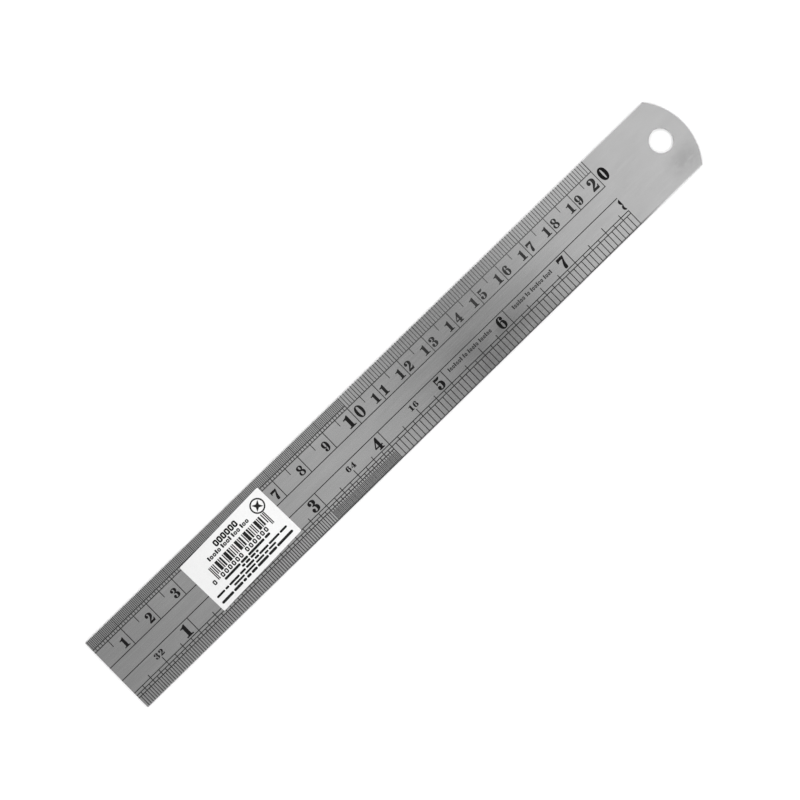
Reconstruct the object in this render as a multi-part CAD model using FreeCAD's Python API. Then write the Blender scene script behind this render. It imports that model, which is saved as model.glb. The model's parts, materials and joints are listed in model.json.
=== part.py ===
import FreeCAD, Part
import math
import os

# Steel ruler with a 200 mm scale on one edge and a 7 7/8 inch scale on the other.
# Millimetres. X runs along the scale from the zero end, Y points to the metric edge and
# Z points out of the marked face. The origin is at the zero end, mid-width, on the underside.

V = FreeCAD.Vector

# Blade
WIDTH = 25.7
THICKNESS = 0.8
LENGTH = 230.5
END_RADIUS = 19.5
METRIC_CORNER_RADIUS = 1.0
INCH_CORNER_RADIUS = 0.4
TOP_EDGE_RADIUS = 0.3
BOTTOM_EDGE_RADIUS = 0.08
HOLE_X = 221.7
HOLE_Y = 0.77
HOLE_RADIUS = 3.7
HOLE_EDGE_RADIUS = 0.1
HALF_WIDTH = WIDTH / 2

# Etched recesses, and the paint in them
ETCH_DEPTH = 0.05
PAINT_BELOW_FACE = 0.01
ETCH_FLOOR = THICKNESS - ETCH_DEPTH
PAINT_TOP = THICKNESS - PAINT_BELOW_FACE
FINE_MARK = 0.21
MEDIUM_MARK = 0.24
BROAD_MARK = 0.27
GUIDE_WIDTH = 0.28
SCALE_END = 200.0
INCH = 25.4

# Lengths of the marks and places of the guide lines, measured in from the scale's own edge
HALF_MM_LINE = 3.2
MM_LINE = 4.2
FIVE_MM_REACH = 6.55
CM_LINE = 10.25
HALF_MM_SCALE_END = 100.0
SIXTY_FOURTH_REACH = 3.05
THIRTY_SECOND_LINE = 3.7
SIXTEENTH_LINE = 4.6
EIGHTH_LINE = 5.6
QUARTER_REACH = 6.65
HALF_INCH_REACH = 7.45
INCH_LINE = 10.55
FINEST_FROM_INCH = 3
FINEST_TO_INCH = 4

# Numerals
CM_NUMERAL_HEIGHT = 3.1
DM_NUMERAL_HEIGHT = 3.95
END_ZERO_HEIGHT = 4.3
INCH_NUMERAL_HEIGHT = 3.9
FRACTION_HEIGHT = 1.8
FRACTION_STRETCH = 1.18
METRIC_BASELINE = 9.3
INCH_BASELINE = 6.1
FRACTION_BASELINE = 7.75
CM_GAP_BEFORE = 0.95
CM_GAP_AFTER = 0.5
DM_GAP_AFTER = 0.75
INCH_GAP_BEFORE = 1.35
FRACTION_GAP = 0.3

# Two short notes on the inch side: where each starts, and how many letter blocks its words have
NOTE_FROM_EDGE = 8.2
NOTES = ((128.8, (7, 2, 5, 6)), (155.2, (6, 2, 6, 4)))
NOTE_LETTER = {"width": 0.72, "low": 0.95, "tall": 1.3, "stroke": 0.26, "gap": 0.2, "word_gap": 0.5}

# Shelf label
LABEL_LENGTH = 31.8
LABEL_HEIGHT = 17.7
LABEL_X = 50.0
LABEL_Y = 1.0
LABEL_ANGLE = 1.95
LABEL_CORNER_RADIUS = 0.3
ADHESIVE_THICKNESS = 0.02
ADHESIVE_INSET = 0.15
PAPER_THICKNESS = 0.08
PRINT_THICKNESS = 0.02
PAPER_BOTTOM = THICKNESS + ADHESIVE_THICKNESS
PRINT_BOTTOM = PAPER_BOTTOM + PAPER_THICKNESS

# Each numeral is drawn on a grid 100 high, as closed loops. A loop is its first point, then
# lines to a point (two numbers) and cubic curves (six numbers). Later loops are the holes.
ZERO = (
    ((34, 100), (54, 100, 68, 80, 68, 50), (68, 20, 54, 0, 34, 0),
     (14, 0, 0, 20, 0, 50), (0, 80, 14, 100, 34, 100)),
    ((34, 92), (41, 92, 45, 77, 45, 50), (45, 23, 41, 8, 34, 8),
     (27, 8, 23, 23, 23, 50), (23, 77, 27, 92, 34, 92)),
)
BOLD_ZERO = (
    ZERO[0],
    ((34, 86), (38, 86, 41, 72, 41, 50), (41, 28, 38, 14, 34, 14),
     (30, 14, 27, 28, 27, 50), (27, 72, 30, 86, 34, 86)),
)
ONE = (
    ((2, 0), (65, 0), (65, 9), (54, 9, 49, 10, 49, 18), (49, 100), (40, 100),
     (31, 91, 18, 87, 2, 86), (2, 77), (13, 77), (18, 77, 20, 75, 20, 69), (20, 18),
     (20, 10, 13, 9, 2, 9), (2, 0)),
)
TWO = (
    ((2, 0), (63, 0), (68, 33), (60, 33), (59, 23, 53, 20, 44, 20), (27, 20),
     (36, 32, 67, 42, 67, 70), (67, 90, 52, 100, 32, 100), (13, 100, 1, 90, 1, 75),
     (1, 65, 8, 58, 16, 58), (25, 58, 30, 65, 30, 72), (30, 79, 24, 81, 23, 85),
     (24, 90, 27, 91, 31, 91), (37, 91, 40, 84, 40, 71), (40, 50, 19, 35, 2, 10), (2, 0)),
)
THREE = (
    ((23, 58), (23, 49), (37, 49, 41, 43, 41, 28), (41, 14, 37, 9, 30, 9),
     (25, 9, 22, 10, 22, 13), (22, 17, 28, 19, 28, 26), (28, 33, 22, 39, 14, 39),
     (6, 39, 0, 33, 0, 23), (0, 9, 13, 0, 32, 0), (55, 0, 68, 11, 68, 28),
     (68, 42, 59, 51, 46, 54), (57, 57, 64, 64, 64, 76), (64, 91, 51, 100, 33, 100),
     (13, 100, 2, 91, 2, 79), (2, 69, 8, 63, 16, 63), (24, 63, 29, 69, 29, 75),
     (29, 81, 23, 83, 23, 87), (23, 90, 26, 91, 30, 91), (36, 91, 39, 86, 39, 76),
     (39, 64, 36, 58, 23, 58)),
)
FOUR = (
    ((23, 0), (71, 0), (71, 9), (62, 9, 60, 10, 60, 16), (60, 23), (71, 23), (71, 34),
     (60, 34), (60, 100), (49, 100), (0, 33), (0, 23), (35, 23), (35, 16),
     (35, 10, 32, 9, 23, 9), (23, 0)),
    ((35, 34), (13, 34), (35, 65), (35, 34)),
)
FIVE = (
    ((8, 100), (22, 95, 46, 95, 61, 100), (61, 85, 52, 77, 36, 77), (28, 77, 22, 78, 17, 80),
     (16, 57), (21, 62, 28, 65, 36, 65), (57, 65, 68, 53, 68, 34), (68, 12, 53, 0, 31, 0),
     (12, 0, 0, 9, 0, 23), (0, 33, 6, 39, 14, 39), (22, 39, 28, 33, 28, 26),
     (28, 19, 22, 17, 22, 13), (22, 10, 25, 9, 30, 9), (37, 9, 42, 15, 42, 32),
     (42, 49, 38, 56, 30, 56), (22, 56, 17, 51, 15, 46), (8, 46), (8, 100)),
)
SIX = (
    ((37, 100), (53, 100, 64, 92, 64, 80), (64, 72, 59, 66, 51, 66), (43, 66, 38, 72, 38, 79),
     (38, 85, 43, 86, 43, 89), (42, 91, 40, 91, 38, 91), (30, 91, 26, 80, 26, 56),
     (30, 62, 36, 65, 43, 65), (59, 65, 68, 51, 68, 33), (68, 12, 54, 0, 35, 0),
     (13, 0, 0, 18, 0, 47), (0, 80, 15, 100, 37, 100)),
    ((35, 56), (42, 56, 44, 47, 44, 32), (44, 16, 42, 9, 35, 9), (28, 9, 26, 16, 26, 32),
     (26, 47, 28, 56, 35, 56)),
)
SEVEN = (
    ((3, 100), (1, 65), (9, 65), (11, 75, 15, 77, 24, 77), (49, 77), (35, 55, 20, 34, 20, 11),
     (20, 3, 26, 0, 34, 0), (44, 0, 49, 4, 49, 12), (49, 40, 58, 66, 68, 91), (68, 100),
     (3, 100)),
)
EIGHT = (
    ((34, 100), (51, 100, 64, 91, 64, 76), (64, 65, 58, 58, 49, 54), (61, 49, 68, 41, 68, 27),
     (68, 10, 54, 0, 34, 0), (13, 0, 0, 10, 0, 26), (0, 39, 8, 46, 19, 50),
     (9, 56, 3, 65, 3, 75), (3, 91, 16, 100, 34, 100)),
    ((36, 91), (42, 91, 44, 85, 44, 76), (44, 67, 43, 62, 39, 59), (31, 62, 26, 69, 26, 78),
     (26, 86, 29, 91, 36, 91)),
    ((32, 9), (23, 9, 19, 17, 19, 27), (19, 36, 22, 43, 27, 47), (38, 41, 46, 35, 46, 24),
     (46, 14, 42, 9, 32, 9)),
)
NUMERAL_RIGHT = {"1": 65}
USUAL_RIGHT = 68
GRID_HEIGHT = 100


def turned(loops):
    """The loops of a numeral turned half round, which makes a nine from a six."""
    def flip(numbers):
        x = [USUAL_RIGHT - n for n in numbers[0::2]]
        y = [GRID_HEIGHT - n for n in numbers[1::2]]
        return tuple(n for pair in zip(x, y) for n in pair)
    return tuple(tuple(flip(step) for step in loop) for loop in loops)


NUMERALS = {
    "0": ZERO, "1": ONE, "2": TWO, "3": THREE, "4": FOUR,
    "5": FIVE, "6": SIX, "7": SEVEN, "8": EIGHT, "9": turned(SIX), "bold 0": BOLD_ZERO,
}


def numeral_face(digit, x, y, height, stretch=1.0):
    """A numeral's flat face at z = 0, with its left end at x and its foot at y."""
    k = height / GRID_HEIGHT

    def at(gx, gy):
        return V(x + gx * k * stretch, y + gy * k, 0)

    faces = []
    for loop in NUMERALS[digit]:
        here = at(*loop[0])
        edges = []
        for step in loop[1:]:
            points = [at(*step[i:i + 2]) for i in range(0, len(step), 2)]
            if len(points) == 1:
                edges.append(Part.LineSegment(here, points[0]).toShape())
            else:
                curve = Part.BezierCurve()
                curve.setPoles([here] + points)
                edges.append(curve.toShape())
            here = points[-1]
        faces.append(Part.Face(Part.Wire(edges)))
    return faces[0].cut(faces[1:]).Faces[0] if len(faces) > 1 else faces[0]


def numeral_width(digit, height, stretch=1.0):
    return NUMERAL_RIGHT.get(digit, USUAL_RIGHT) * height / GRID_HEIGHT * stretch


def raised(face, bottom, top):
    """The solid that a flat face at z = 0 makes between two heights."""
    lifted = face.copy()
    lifted.translate(V(0, 0, bottom))
    return lifted.extrude(V(0, 0, top - bottom))


def slab(x0, x1, y0, y1, bottom, top):
    low_y = min(y0, y1)
    return Part.makeBox(x1 - x0, abs(y1 - y0), top - bottom, V(x0, low_y, bottom))


# ---- the scale: what is marked where ----

# Each class of mark: how many of the finest divisions it comes round in, its name, how far it
# reaches in from its edge and how wide it is. The finest divisions are half millimetres and 64ths.
METRIC_CLASSES = (
    (20, "centimetre", CM_LINE, BROAD_MARK),
    (10, "five_millimetre", FIVE_MM_REACH, MEDIUM_MARK),
    (2, "millimetre", MM_LINE, FINE_MARK),
    (1, "half_millimetre", HALF_MM_LINE, FINE_MARK),
)
INCH_CLASSES = (
    (64, "inch", INCH_LINE, BROAD_MARK),
    (32, "half_inch", HALF_INCH_REACH, BROAD_MARK),
    (16, "quarter_inch", QUARTER_REACH, BROAD_MARK),
    (8, "eighth", EIGHTH_LINE, BROAD_MARK),
    (4, "sixteenth", SIXTEENTH_LINE, BROAD_MARK),
    (2, "thirty_second", THIRTY_SECOND_LINE, MEDIUM_MARK),
    (1, "sixty_fourth", SIXTY_FOURTH_REACH, FINE_MARK),
)


def finest_metric(x):
    return 1 if x < HALF_MM_SCALE_END else 2


def finest_inch(x):
    inches = x / INCH
    if inches <= FINEST_FROM_INCH:
        return 2
    return 1 if inches <= FINEST_TO_INCH else 4


def scale_marks(classes, division, last, finest):
    """The marks of one scale by class, each as its place, its reach and its width."""
    marks = {name: [] for size, name, reach, width in classes}
    for n in range(1, last + 1):
        x = n * division
        size, name, reach, width = next(each for each in classes if n % each[0] == 0)
        if size >= finest(x):
            marks[name].append((x, reach, width))
    return marks


METRIC_GUIDES = ((HALF_MM_LINE, HALF_MM_SCALE_END), (MM_LINE, SCALE_END), (CM_LINE, SCALE_END))
INCH_GUIDES = (
    (THIRTY_SECOND_LINE, FINEST_TO_INCH * INCH),
    (SIXTEENTH_LINE, SCALE_END),
    (EIGHTH_LINE, SCALE_END),
    (INCH_LINE, SCALE_END),
)


def gaps_between_guides(x, reach, guides):
    """The stretches of a mark that lie between the guide lines which it crosses."""
    stretches = []
    start = 0.0
    for line, end in sorted(guides):
        if x < end + GUIDE_WIDTH and line - GUIDE_WIDTH / 2 < reach:
            stretches.append((start, line - GUIDE_WIDTH / 2))
            start = line + GUIDE_WIDTH / 2
    if reach > start + GUIDE_WIDTH:
        stretches.append((start, reach))
    return stretches


def edge_round_at(z):
    """How far in from the blade's side its rounded top edge is, at a height in the round."""
    rise = z - (THICKNESS - TOP_EDGE_RADIUS)
    return TOP_EDGE_RADIUS - math.sqrt(TOP_EDGE_RADIUS ** 2 - rise ** 2)


def paint_bar(x, width, start, stop, side):
    """Paint between two distances from an edge. Where it starts at the edge it follows the round."""
    if start > 0:
        return slab(x - width / 2, x + width / 2, side * (HALF_WIDTH - start),
                    side * (HALF_WIDTH - stop), ETCH_FLOOR, PAINT_TOP)
    z_middle = (ETCH_FLOOR + PAINT_TOP) / 2

    def at(inward, z):
        return V(x - width / 2, side * (HALF_WIDTH - inward), z)

    foot = at(edge_round_at(ETCH_FLOOR), ETCH_FLOOR)
    middle = at(edge_round_at(z_middle), z_middle)
    brow = at(edge_round_at(PAINT_TOP), PAINT_TOP)
    end_top = at(stop, PAINT_TOP)
    end_foot = at(stop, ETCH_FLOOR)
    outline = Part.Wire([
        Part.Arc(foot, middle, brow).toShape(),
        Part.LineSegment(brow, end_top).toShape(),
        Part.LineSegment(end_top, end_foot).toShape(),
        Part.LineSegment(end_foot, foot).toShape(),
    ])
    return Part.Face(outline).extrude(V(width, 0, 0))


def etch_bar(x, width, reach, side):
    """The recess of one mark, cut out through the blade's side."""
    return slab(x - width / 2, x + width / 2, side * (HALF_WIDTH + 1),
                side * (HALF_WIDTH - reach), ETCH_FLOOR, THICKNESS + 1)


def guide_line(line, end, side, bottom, top):
    return slab(0, end + GUIDE_WIDTH / 2, side * (HALF_WIDTH - line - GUIDE_WIDTH / 2),
                side * (HALF_WIDTH - line + GUIDE_WIDTH / 2), bottom, top)


# ---- the numerals' places ----

def centimetre_numerals():
    y = HALF_WIDTH - METRIC_BASELINE
    faces = []
    for cm in range(1, 20):
        text = str(cm)
        if cm == 10:
            continue
        first = numeral_width(text[0], CM_NUMERAL_HEIGHT)
        faces.append(numeral_face(text[0], cm * 10 - CM_GAP_BEFORE - first, y, CM_NUMERAL_HEIGHT))
        if len(text) == 2:
            faces.append(numeral_face(text[1], cm * 10 + CM_GAP_AFTER, y, CM_NUMERAL_HEIGHT))
    return faces


def decimetre_face(digit, x, height=DM_NUMERAL_HEIGHT):
    return numeral_face(digit, x, HALF_WIDTH - METRIC_BASELINE, height)


def decimetre_numerals():
    one = 100 - CM_GAP_BEFORE - numeral_width("1", DM_NUMERAL_HEIGHT)
    two = SCALE_END - CM_GAP_BEFORE - numeral_width("2", DM_NUMERAL_HEIGHT)
    return [decimetre_face("1", one), decimetre_face("0", 100 + DM_GAP_AFTER), decimetre_face("2", two)]


def end_zero():
    return [decimetre_face("bold 0", SCALE_END + DM_GAP_AFTER, END_ZERO_HEIGHT)]


def inch_numeral(number):
    width = numeral_width(str(number), INCH_NUMERAL_HEIGHT)
    x = number * INCH - INCH_GAP_BEFORE - width
    return numeral_face(str(number), x, INCH_BASELINE - HALF_WIDTH, INCH_NUMERAL_HEIGHT)


def inch_numerals():
    """One to seven, without the six, and the part of the eight that the scale's end lets through."""
    faces = [inch_numeral(number) for number in (1, 2, 3, 4, 5, 7)]
    within_scale = Part.makePlane(SCALE_END + GUIDE_WIDTH / 2, WIDTH, V(0, -HALF_WIDTH, 0))
    return faces + inch_numeral(8).common(within_scale).Faces


def fraction_numerals():
    faces = []
    for inches, text in ((0.5, "32"), (3.5, "64"), (4.5, "16")):
        widths = [numeral_width(digit, FRACTION_HEIGHT, FRACTION_STRETCH) for digit in text]
        x = inches * INCH - (sum(widths) + FRACTION_GAP) / 2
        for digit, width in zip(text, widths):
            y = FRACTION_BASELINE - HALF_WIDTH
            faces.append(numeral_face(digit, x, y, FRACTION_HEIGHT, FRACTION_STRETCH))
            x += width + FRACTION_GAP
    return faces


def rounded_bar(length, height, radius):
    """A flat rectangle with round corners and its middle at the origin."""
    a = length / 2
    b = height / 2
    d = radius * (1 - math.sqrt(0.5))
    ends = [V(radius - a, -b, 0), V(a - radius, -b, 0), V(a, radius - b, 0), V(a, b - radius, 0),
            V(a - radius, b, 0), V(radius - a, b, 0), V(-a, b - radius, 0), V(-a, radius - b, 0)]
    bends = [V(a - d, d - b, 0), V(a - d, b - d, 0), V(d - a, b - d, 0), V(d - a, d - b, 0)]
    edges = []
    for i in range(4):
        if ends[2 * i].distanceToPoint(ends[2 * i + 1]) > 1e-6:
            edges.append(Part.LineSegment(ends[2 * i], ends[2 * i + 1]).toShape())
        edges.append(Part.Arc(ends[2 * i + 1], bends[i], ends[(2 * i + 2) % 8]).toShape())
    return Part.Face(Part.Wire(edges))


def dash_row(start, y, height, lengths, gap):
    """Round-ended dashes in a row from start, centred on y."""
    faces = []
    for length in lengths:
        face = rounded_bar(length, height, height / 2 * 0.98)
        face.translate(V(start + length / 2, y, 0))
        faces.append(face)
        start += length + gap
    return faces


def framed_bar(x, y, length, height, stroke):
    """A small upright frame with its middle at x, y: a plain stand-in for a figure or a letter."""
    outside = rounded_bar(length, height, stroke)
    inside = rounded_bar(length - 2 * stroke, height - 2 * stroke, stroke / 4)
    face = outside.cut(inside).Faces[0]
    face.translate(V(x, y, 0))
    return face


def letter_blocks(x, y, words, letter):
    """Words as rows of low frames with a tall bar for every third letter, standing on y."""
    faces = []
    for count in words:
        for i in range(count):
            if i % 3 == 0:
                bar = 1.6 * letter["stroke"]
                face = rounded_bar(bar, letter["tall"], letter["stroke"] / 2)
                face.translate(V(x + bar / 2, y + letter["tall"] / 2, 0))
                x += bar + letter["gap"]
            else:
                face = framed_bar(x + letter["width"] / 2, y + letter["low"] / 2,
                                  letter["width"], letter["low"], letter["stroke"])
                x += letter["width"] + letter["gap"]
            faces.append(face)
        x += letter["word_gap"]
    return faces


def note_letters():
    y = NOTE_FROM_EDGE - HALF_WIDTH
    rows = [letter_blocks(start, y, words, NOTE_LETTER) for start, words in NOTES]
    return rows[0] + rows[1]


# ---- the blade ----

def blade_outline():
    """The blank's outline: square at the zero end, and one arc with small corners at the other."""
    centre = V(LENGTH - END_RADIUS, 0, 0)
    ends = []
    for side, radius in ((-1, INCH_CORNER_RADIUS), (1, METRIC_CORNER_RADIUS)):
        across = HALF_WIDTH - radius
        along = math.sqrt((END_RADIUS - radius) ** 2 - across ** 2)
        corner = centre + V(along, side * across, 0)
        on_side = corner + V(0, side * radius, 0)
        on_arc = corner + (corner - centre).normalize() * radius
        middle = corner + ((on_side - corner) + (on_arc - corner)).normalize() * radius
        ends.append((on_side, middle, on_arc))
    inch_end, metric_end = ends
    return Part.Wire([
        Part.LineSegment(V(0, -HALF_WIDTH, 0), inch_end[0]).toShape(),
        Part.Arc(*inch_end).toShape(),
        Part.Arc(inch_end[2], V(LENGTH, 0, 0), metric_end[2]).toShape(),
        Part.Arc(*reversed(metric_end)).toShape(),
        Part.LineSegment(metric_end[0], V(0, HALF_WIDTH, 0)).toShape(),
        Part.LineSegment(V(0, HALF_WIDTH, 0), V(0, -HALF_WIDTH, 0)).toShape(),
    ])


def is_hole_edge(edge):
    return isinstance(edge.Curve, Part.Circle) and abs(edge.Curve.Radius - HOLE_RADIUS) < 1e-6


def outer_edges(solid, z):
    """The outline's edges at one height, apart from the square zero end's."""
    return [e for e in solid.Edges if not is_hole_edge(e) and e.BoundBox.XMax > 1
            and abs(e.BoundBox.ZMin - z) < 1e-6 and abs(e.BoundBox.ZMax - z) < 1e-6]


def blank():
    solid = Part.Face(blade_outline()).extrude(V(0, 0, THICKNESS))
    drill = Part.makeCylinder(HOLE_RADIUS, THICKNESS + 2, V(HOLE_X, HOLE_Y, -1))
    solid = solid.cut(drill)
    solid = solid.makeFillet(TOP_EDGE_RADIUS, outer_edges(solid, THICKNESS))
    solid = solid.makeFillet(BOTTOM_EDGE_RADIUS, outer_edges(solid, 0))
    hole_edges = [e for e in solid.Edges if is_hole_edge(e)]
    return solid.makeFillet(HOLE_EDGE_RADIUS, hole_edges)


def etched_blade(marks, numerals):
    """The blank with its marks, guide lines and numerals etched into the top face."""
    tools = []
    for groups, guides, side in marks:
        for places in groups.values():
            tools.extend(etch_bar(x, width, reach, side) for x, reach, width in places)
        for line, end in guides:
            tools.append(guide_line(line, end, side, ETCH_FLOOR, THICKNESS + 1))
    pattern = tools[0].multiFuse(tools[1:])
    tools = pattern.Solids + [raised(face, ETCH_FLOOR, THICKNESS + 1) for face in numerals]
    return blank().cut(tools).Solids[0]


def save(name, solids):
    shape = solids[0] if len(solids) == 1 else Part.makeCompound(solids)
    shape.exportStep("parts/" + name + ".step")
    print(name, len(solids), "solids, volume", round(shape.Volume, 4), "valid", shape.isValid())


# ---- the shelf label ----

def on_label(face):
    """Puts a face drawn about the label's middle in its place on the blade."""
    placed = face.copy()
    placed.rotate(V(0, 0, 0), V(0, 0, 1), LABEL_ANGLE)
    placed.translate(V(LABEL_X, LABEL_Y, 0))
    return placed


def print_on_label(name, faces):
    save(name, [raised(on_label(face), PRINT_BOTTOM, PRINT_BOTTOM + PRINT_THICKNESS) for face in faces])


def label_heading():
    return [framed_bar(-3.7 + 1.52 * i, 6.35, 1.38, 1.95, 0.5) for i in range(6)]


def label_subheading():
    letter = {"width": 0.98, "low": 1.05, "tall": 1.4, "stroke": 0.34, "gap": 0.18, "word_gap": 0.5}
    return letter_blocks(-8.7, 3.8, (5, 4, 3, 3), letter)


def label_bars():
    """Upright bars and gaps in a repeating order, with a longer pair of bars at each end."""
    order = ((0.35, 0.25), (0.35, 0.45), (1.0, 0.25), (0.35, 0.25), (0.6, 0.55), (0.35, 0.22),
             (1.05, 0.3), (0.6, 0.25), (0.35, 0.4))
    top = 2.8
    stop = 11.1
    faces = []
    x = -9.5
    while x < stop:
        width, gap = order[len(faces) % len(order)]
        faces.append(Part.makePlane(width, 3.15, V(x, top - 3.15, 0)))
        x += width + gap
    for x in (-10.6, -10.1, 11.4, 11.9):
        faces.append(Part.makePlane(0.32, 4.4, V(x, top - 4.4, 0)))
    return faces


def label_bar_digits():
    places = [-11.95] + [-8.7 + 1.5 * i for i in range(6)] + [1.3 + 1.55 * i for i in range(6)]
    return [framed_bar(x, -1.33, 1.1, 1.45, 0.38) for x in places]


def label_small_print():
    return (
        dash_row(-9.3, -2.78, 0.74, (6.2, 2.7, 6.4, 2.0), 0.36)
        + dash_row(-3.3, -3.77, 0.68, (1.2, 1.7, 1.9, 0.9), 0.3)
        + dash_row(-14.6, -4.82, 0.66, (3.1, 1.3, 4.0, 2.2, 3.2, 1.6, 3.6, 4.2, 2.7), 0.32)
        + dash_row(-8.7, -5.87, 0.6, (4.2, 4.1, 3.2, 1.4, 2.8), 0.34)
    )


def label_bold_line():
    return dash_row(-14.7, -6.97, 0.8, (4.6, 3.5, 1.2, 1.6, 2.2, 4.3, 3.1, 6.3), 0.3)


def label_ring_mark():
    """A plain ring with a four-pointed star in it."""
    centre = V(12.15, 5.15, 0)

    def disc(radius):
        return Part.Face(Part.Wire(Part.makeCircle(radius, centre)))

    points = []
    for i in range(9):
        reach = 0.62 if i % 2 else 1.75
        angle = math.radians(45 * (i + 1))
        points.append(centre + V(reach * math.cos(angle), reach * math.sin(angle), 0))
    return [disc(2.3).cut(disc(1.86)).Faces[0], Part.Face(Part.makePolygon(points))]


def make_label():
    paper = rounded_bar(LABEL_LENGTH, LABEL_HEIGHT, LABEL_CORNER_RADIUS)
    glue = rounded_bar(LABEL_LENGTH - 2 * ADHESIVE_INSET, LABEL_HEIGHT - 2 * ADHESIVE_INSET,
                       LABEL_CORNER_RADIUS)
    save("label_adhesive", [raised(on_label(glue), THICKNESS, PAPER_BOTTOM)])
    save("label_paper", [raised(on_label(paper), PAPER_BOTTOM, PRINT_BOTTOM)])
    print_on_label("label_heading", label_heading())
    print_on_label("label_subheading", label_subheading())
    print_on_label("label_bars", label_bars())
    print_on_label("label_bar_digits", label_bar_digits())
    print_on_label("label_small_print", label_small_print())
    print_on_label("label_bold_line", label_bold_line())
    print_on_label("label_ring_mark", label_ring_mark())


def make_marks(groups, guides, side):
    for name, places in groups.items():
        bars = [paint_bar(x, width, start, stop, side)
                for x, reach, width in places
                for start, stop in gaps_between_guides(x, reach, guides)]
        save(name + "_marks", bars)


def make_guides(name, guides, side):
    save(name, [guide_line(line, end, side, ETCH_FLOOR, PAINT_TOP) for line, end in guides])


def make_numerals():
    groups = {
        "centimetre_numerals": centimetre_numerals(),
        "decimetre_numerals": decimetre_numerals(),
        "end_zero": end_zero(),
        "inch_numerals": inch_numerals(),
        "inch_six": [inch_numeral(6)],
        "fraction_numerals": fraction_numerals(),
        "note_letters": note_letters(),
    }
    for name, faces in groups.items():
        save(name, [raised(face, ETCH_FLOOR, PAINT_TOP) for face in faces])
    return [face for faces in groups.values() for face in faces]


os.makedirs("parts", exist_ok=True)
metric = scale_marks(METRIC_CLASSES, 0.5, round(SCALE_END / 0.5), finest_metric)
inches = scale_marks(INCH_CLASSES, INCH / 64, int(SCALE_END / INCH * 8 + 0.5) * 8, finest_inch)
make_marks(metric, METRIC_GUIDES, 1)
make_marks(inches, INCH_GUIDES, -1)
make_guides("metric_guide_lines", METRIC_GUIDES, 1)
make_guides("inch_guide_lines", INCH_GUIDES, -1)
figures = make_numerals()
make_label()
save("blade", [etched_blade(((metric, METRIC_GUIDES, 1), (inches, INCH_GUIDES, -1)), figures)])
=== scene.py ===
import json

import bpy
from mathutils import Matrix, Vector


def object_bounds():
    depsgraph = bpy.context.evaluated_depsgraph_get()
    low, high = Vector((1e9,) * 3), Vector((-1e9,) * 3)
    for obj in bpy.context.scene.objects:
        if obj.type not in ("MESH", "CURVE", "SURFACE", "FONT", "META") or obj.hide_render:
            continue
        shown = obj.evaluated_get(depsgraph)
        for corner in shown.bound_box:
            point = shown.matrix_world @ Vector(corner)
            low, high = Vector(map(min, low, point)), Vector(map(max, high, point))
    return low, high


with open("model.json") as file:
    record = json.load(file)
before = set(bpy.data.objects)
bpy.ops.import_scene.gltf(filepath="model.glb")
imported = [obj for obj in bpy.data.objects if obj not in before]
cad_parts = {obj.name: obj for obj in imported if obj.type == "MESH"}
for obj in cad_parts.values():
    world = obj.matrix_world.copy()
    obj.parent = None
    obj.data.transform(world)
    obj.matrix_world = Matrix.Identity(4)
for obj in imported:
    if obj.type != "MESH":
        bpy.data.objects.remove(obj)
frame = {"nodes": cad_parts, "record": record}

MM = 0.001
cad_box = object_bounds()
nodes = frame["nodes"]
low, high = cad_box
middle = (low + high) / 2

# ---- camera, at the viewing angle of a product photograph taken from almost straight above ----
LENS = 100.0
SENSOR = 36.0
CAMERA_PLACE = Vector((44.07, 14.39, 639.38)) * MM
VIEW_DIRECTION = Vector((0.10688, -0.02279, -0.99401))
IMAGE_UP = Vector((0.694, 0.71763, 0.05817))

# ---- marks on the blade, each patch its middle and its reach, in millimetres: painted dim reflection, smudges, paint wear and painted edge shade ----
# a darker patch of steel colour, painted in where the reflected light dims
DIM_REFLECTION_PATCH = ((146, -9), (38, 16))
SMUDGE_PATCH = ((223, -8), (9, 6.5))
WORN_PATCH = ((160, 8), (72, 14))
# painted shade: dark colour on the inch side's rounded edge
PAINTED_SHADE_WIDTHS = (0.2, 0.7)
PAINTED_SHADE_HEIGHTS = (0.4, 0.55)
PAINTED_SHADE_RISES = (30, 75)
PAINTED_SHADE_FALLS = (196, 214)

# ---- studio: the strips hang over the blade and shade its reflection from end to end ----
WORLD_STRENGTH = 0.35
STRIP_HEIGHT = 1.0
STRIP_SIZE = (0.12, 1.4)
STRIPS = {-0.07: 0.06, 0.05: 0.12, 0.17: 0.26, 0.41: 0.34, 0.53: 0.51}
SIDE_DISTANCE = 1.6
SIDE_HEIGHT = 0.9
SIDE_SIZE = (1.6, 1.6)
SIDE_WATTS = 19.5
FLOOR_HALF_SIZE = 4.0


def make_camera():
    data = bpy.data.cameras.new("camera")
    data.lens = LENS
    data.sensor_width = SENSOR
    data.clip_start = 0.01
    data.clip_end = 50.0
    camera = bpy.data.objects.new("camera", data)
    bpy.context.scene.collection.objects.link(camera)
    back = -VIEW_DIRECTION.normalized()
    right = IMAGE_UP.cross(back).normalized()
    up = back.cross(right)
    turn = Matrix((right, up, back)).transposed().to_4x4()
    camera.matrix_world = Matrix.Translation(CAMERA_PLACE) @ turn
    bpy.context.scene.camera = camera


# ---- materials ----

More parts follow.
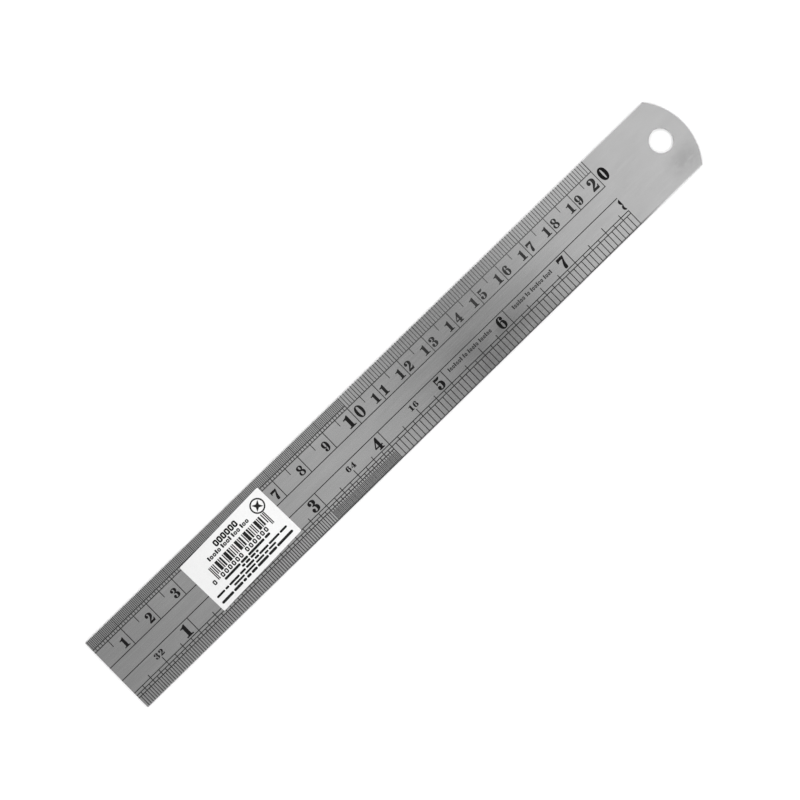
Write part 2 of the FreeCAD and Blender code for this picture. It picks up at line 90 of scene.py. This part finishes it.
class Nodes:
    """A material's node tree, with short ways to add and join nodes."""

    def __init__(self, name):
        self.material = bpy.data.materials.new(name)
        self.material.use_nodes = True
        self.tree = self.material.node_tree
        self.shader = self.tree.nodes["Principled BSDF"]
        self.place = self.add("ShaderNodeTexCoord").outputs["Object"]

    def add(self, kind, **settings):
        node = self.tree.nodes.new(kind)
        for key, value in settings.items():
            setattr(node, key, value)
        return node

    def join(self, out, socket):
        self.tree.links.new(out, socket)

    def scaled(self, scale, offset=(0, 0, 0)):
        mapping = self.add("ShaderNodeMapping")
        mapping.inputs["Scale"].default_value = scale
        mapping.inputs["Location"].default_value = offset
        self.join(self.place, mapping.inputs["Vector"])
        return mapping.outputs["Vector"]

    def noise(self, stretch, detail=2.0, rough=0.5, seed=0.0):
        """Noise with so many waves per metre along X, Y and Z."""
        noise = self.add("ShaderNodeTexNoise")
        noise.inputs["Scale"].default_value = 1.0
        noise.inputs["Detail"].default_value = detail
        noise.inputs["Roughness"].default_value = rough
        self.join(self.scaled(stretch, (seed, seed * 1.7, seed * 0.3)), noise.inputs["Vector"])
        return noise.outputs["Fac"]

    def along(self, axis):
        """The object's own place along X, Y or Z, in metres."""
        node = self.add("ShaderNodeSeparateXYZ")
        self.join(self.place, node.inputs["Vector"])
        return node.outputs[axis]

    def patch(self, centre, reach):
        """One in the middle of a soft oval patch, falling to zero at its reach; both in millimetres."""
        scale = (1 / (reach[0] * MM), 1 / (reach[1] * MM), 0)
        offset = (-centre[0] / reach[0], -centre[1] / reach[1], 0)
        length = self.add("ShaderNodeVectorMath", operation="LENGTH")
        self.join(self.scaled(scale, offset), length.inputs[0])
        return self.spread(length.outputs["Value"], 0, 1, 1, 0, soft=True)

    def spread(self, value, low_in, high_in, low_out, high_out, soft=False):
        node = self.add("ShaderNodeMapRange")
        if soft:
            node.interpolation_type = "SMOOTHSTEP"
        for socket, number in zip(node.inputs[1:5], (low_in, high_in, low_out, high_out)):
            socket.default_value = number
        self.join(value, node.inputs["Value"])
        return node.outputs["Result"]

    def maths(self, operation, a, b):
        node = self.add("ShaderNodeMath", operation=operation)
        for socket, value in zip(node.inputs, (a, b)):
            if isinstance(value, (int, float)):
                socket.default_value = value
            else:
                self.join(value, socket)
        return node.outputs[0]

    def product(self, *values):
        result = values[0]
        for value in values[1:]:
            result = self.maths("MULTIPLY", result, value)
        return result

    def grey(self, value):
        node = self.add("ShaderNodeCombineColor")
        for socket in node.inputs:
            self.join(value, socket)
        self.join(node.outputs["Color"], self.shader.inputs["Base Color"])

    def spread_gloss_across(self, amount):
        """Stretches highlights along the object's own Y, as brushing along X does."""
        across = self.add("ShaderNodeCombineXYZ")
        across.inputs["Y"].default_value = 1.0
        turned = self.add("ShaderNodeVectorTransform", vector_type="VECTOR",
                          convert_from="OBJECT", convert_to="WORLD")
        self.join(across.outputs["Vector"], turned.inputs["Vector"])
        self.join(turned.outputs["Vector"], self.shader.inputs["Tangent"])
        self.shader.inputs["Anisotropic"].default_value = amount

    def bump(self, height, depth, strength=1.0):
        node = self.add("ShaderNodeBump")
        node.inputs["Distance"].default_value = depth
        node.inputs["Strength"].default_value = strength
        self.join(height, node.inputs["Height"])
        self.join(node.outputs["Normal"], self.shader.inputs["Normal"])


def painted_shade_edge(m):
    """One on the rounded edge of the inch side, along the stretch where shade is painted in as dark
    colour.
    """
    return m.product(
        m.spread(m.along("Y"), *(low.y + width * MM for width in PAINTED_SHADE_WIDTHS), 1, 0, soft=True),
        m.spread(m.along("Z"), *(height * MM for height in PAINTED_SHADE_HEIGHTS), 0, 1),
        m.spread(m.along("X"), *(x * MM for x in PAINTED_SHADE_RISES), 0.35, 1, soft=True),
        m.spread(m.along("X"), *(x * MM for x in PAINTED_SHADE_FALLS), 1, 0, soft=True),
    )


def steel_material():
    """Satin steel, brushed along X, with a patch of painted dim reflection, smudges by the hole and
    painted shade on an edge.
    """
    m = Nodes("steel")
    grain = m.noise((60, 4200, 4200), detail=3.0, rough=0.65)
    mottle = m.noise((90, 260, 260), detail=3.0, rough=0.6, seed=3.1)
    blots = m.noise((190, 230, 230), detail=3.0, rough=0.6, seed=7.4)
    uneven = m.noise((95, 130, 130), detail=2.0, seed=1.6)
    # painted dim reflection: an uneven darker patch of steel colour where the reflected light dips
    dim_reflection = m.product(m.patch(*DIM_REFLECTION_PATCH), m.spread(uneven, 0.35, 0.65, 0.6, 1.2, soft=True))
    smudged = m.product(m.patch(*SMUDGE_PATCH), m.spread(blots, 0.3, 0.58, 0.3, 1, soft=True))
    # painted shade on the inch edge, darkening its colour and dulling its metal
    edge_shade = painted_shade_edge(m)
    tone = m.product(
        m.spread(grain, 0.3, 0.7, 0.415, 0.445),
        m.spread(mottle, 0.3, 0.7, 0.97, 1.03),
        m.spread(dim_reflection, 0, 1, 1.0, 0.74),
        m.spread(smudged, 0, 1, 1.0, 0.8),
        m.spread(edge_shade, 0, 1, 1.0, 0.08),
    )
    m.grey(tone)
    m.join(m.spread(grain, 0.3, 0.7, 0.23, 0.27), m.shader.inputs["Roughness"])
    m.join(m.spread(edge_shade, 0, 1, 1.0, 0.15), m.shader.inputs["Metallic"])
    m.spread_gloss_across(0.8)
    m.bump(grain, 0.000002, 0.3)
    return m.material


def paint_material(name, darkest, palest, gloss=0.1, worn=0.0):
    """Mark paint, worn greyer on the middle of the metric scale by the amount given."""
    m = Nodes(name)
    speck = m.noise((2600, 2600, 2600), detail=2.0)
    colour = m.spread(speck, 0.35, 0.75, darkest, palest)
    if worn:
        rubbed = m.product(m.patch(*WORN_PATCH), m.noise((160, 160, 160), seed=5.0))
        colour = m.maths("ADD", colour, m.spread(rubbed, 0, 0.6, 0, worn))
    m.grey(colour)
    m.join(m.spread(speck, 0.3, 0.7, 0.62, 0.8), m.shader.inputs["Roughness"])
    m.shader.inputs["Specular IOR Level"].default_value = gloss
    m.bump(speck, 0.000003, 0.5)
    return m.material


def paper_material(name, tone):
    """Paper or its glue, with painted shade making it a little darker towards the label's end nearer
    zero.
    """
    m = Nodes(name)
    fibre = m.noise((3000, 2200, 3000), detail=3.0)
    # painted shade: the paper's colour darker towards the zero end
    shade_towards_zero = m.spread(m.along("X"), 36 * MM, 62 * MM, 0.93, 1.0, soft=True)
    m.grey(m.product(m.spread(fibre, 0.3, 0.7, tone - 0.02, tone + 0.02), shade_towards_zero))
    m.join(m.spread(fibre, 0.3, 0.7, 0.5, 0.62), m.shader.inputs["Roughness"])
    m.shader.inputs["Specular IOR Level"].default_value = 0.3
    m.bump(fibre, 0.000006, 0.4)
    return m.material


def dress_nodes():
    made = {
        "steel": steel_material(),
        "mark_paint": paint_material("mark_paint", 0.012, 0.03, gloss=0.2, worn=0.06),
        "fresh_mark_paint": paint_material("fresh_mark_paint", 0.002, 0.004),
        "adhesive": paper_material("adhesive", 0.6),
        "label_paper": paper_material("label_paper", 0.7),
        "label_ink": paint_material("label_ink", 0.008, 0.02),
    }
    numeral_paint = paint_material("numeral_paint", 0.003, 0.009, worn=0.035)
    for row in frame["record"]["subparts"]:
        is_numeral = row["node"].endswith("_numerals")
        for place in nodes[row["node"]].material_slots:
            place.material = numeral_paint if is_numeral else made[row["material_slot"]]


# ---- floor and light ----

def make_floor():
    half = FLOOR_HALF_SIZE
    mesh = bpy.data.meshes.new("floor")
    corners = [(-half, -half, low.z), (half, -half, low.z), (half, half, low.z), (-half, half, low.z)]
    mesh.from_pydata(corners, [], [(0, 1, 2, 3)])
    floor = bpy.data.objects.new("floor", mesh)
    bpy.context.scene.collection.objects.link(floor)
    m = Nodes("floor")
    m.shader.inputs["Base Color"].default_value = (0.9, 0.9, 0.9, 1.0)
    m.shader.inputs["Roughness"].default_value = 0.9
    m.shader.inputs["Specular IOR Level"].default_value = 0.1
    mesh.materials.append(m.material)


def softbox(name, place, aim, size, watts):
    data = bpy.data.lights.new(name, "AREA")
    data.shape = "RECTANGLE"
    data.size, data.size_y = size
    data.energy = watts
    lamp = bpy.data.objects.new(name, data)
    bpy.context.scene.collection.objects.link(lamp)
    lamp.location = place
    lamp.rotation_mode = "QUATERNION"
    lamp.rotation_quaternion = (aim - Vector(place)).to_track_quat("-Z", "Y")


def make_light():
    world = bpy.data.worlds.new("studio")
    world.use_nodes = True
    back = world.node_tree.nodes["Background"]
    back.inputs["Color"].default_value = (1, 1, 1, 1)
    back.inputs["Strength"].default_value = WORLD_STRENGTH
    bpy.context.scene.world = world
    for x, watts in STRIPS.items():
        softbox(f"strip_{x}", (x, 0, STRIP_HEIGHT), Vector((x, 0, 0)), STRIP_SIZE, watts)
    for name, turn in (("right", (1, 0)), ("back", (0, 1)), ("left", (-1, 0)), ("front", (0, -1))):
        place = (middle.x + SIDE_DISTANCE * turn[0], SIDE_DISTANCE * turn[1], SIDE_HEIGHT)
        softbox(name + "_softbox", place, middle, SIDE_SIZE, SIDE_WATTS)
    bpy.context.scene.view_settings.view_transform = "Standard"


make_camera()
dress_nodes()
make_floor()
make_light()
